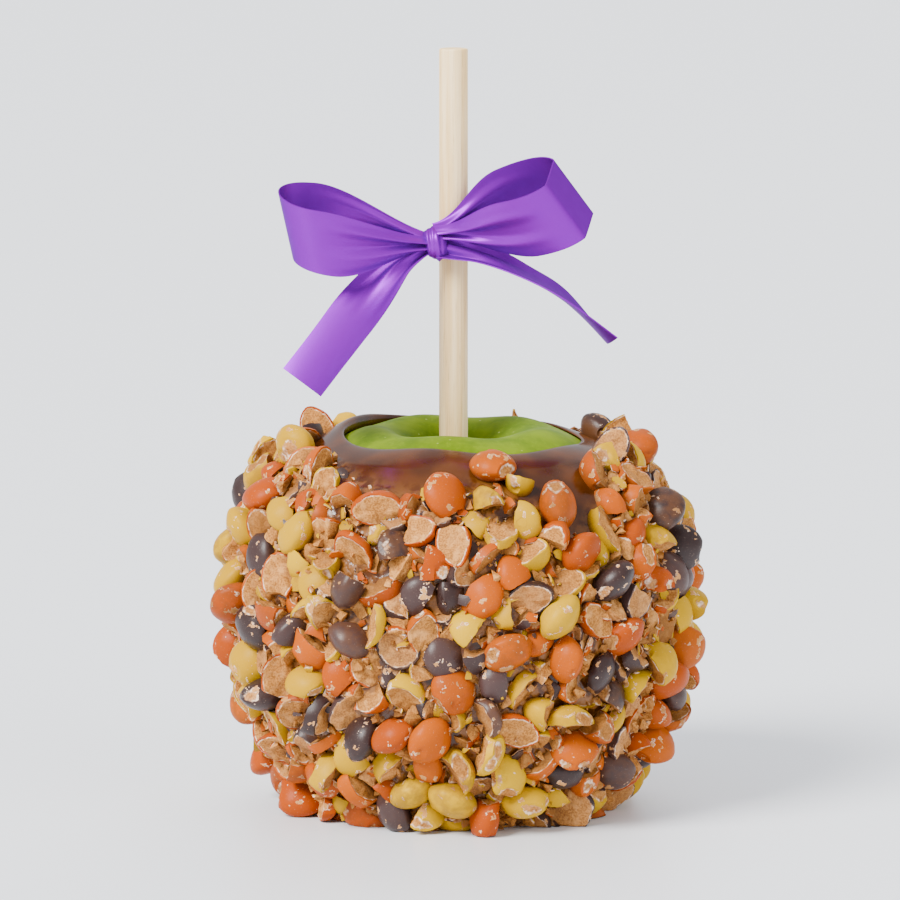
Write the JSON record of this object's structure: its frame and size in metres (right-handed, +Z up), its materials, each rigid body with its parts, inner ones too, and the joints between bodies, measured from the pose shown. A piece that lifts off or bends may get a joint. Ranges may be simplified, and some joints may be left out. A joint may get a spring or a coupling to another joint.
{
  "type": "caramel apple",
  "caption": "Green apple dipped in caramel and rolled in broken shelled candies, standing on a flat foot, with a wooden stick tied with a satin ribbon bow.",
  "frame": {"origin": "middle of the flat foot that the apple stands on", "axes": "+Z up along the stick, +X to the right seen from the front, -Y the front, where the bow is tied"},
  "size_m": [0.1099, 0.1105, 0.168],
  "materials": {
    "apple": "waxy green apple skin",
    "caramel_coat": "brown caramel set with broken orange, yellow and dark brown shelled candies with tan filling",
    "stick": "plain pale wood dowel",
    "ribbon_bow": "purple satin"
  },
  "bodies": {
    "root": {"apple": "apple", "caramel_coat": "caramel_coat", "stick": "stick", "ribbon_bow": "ribbon_bow"}
  },
  "joints": []
}
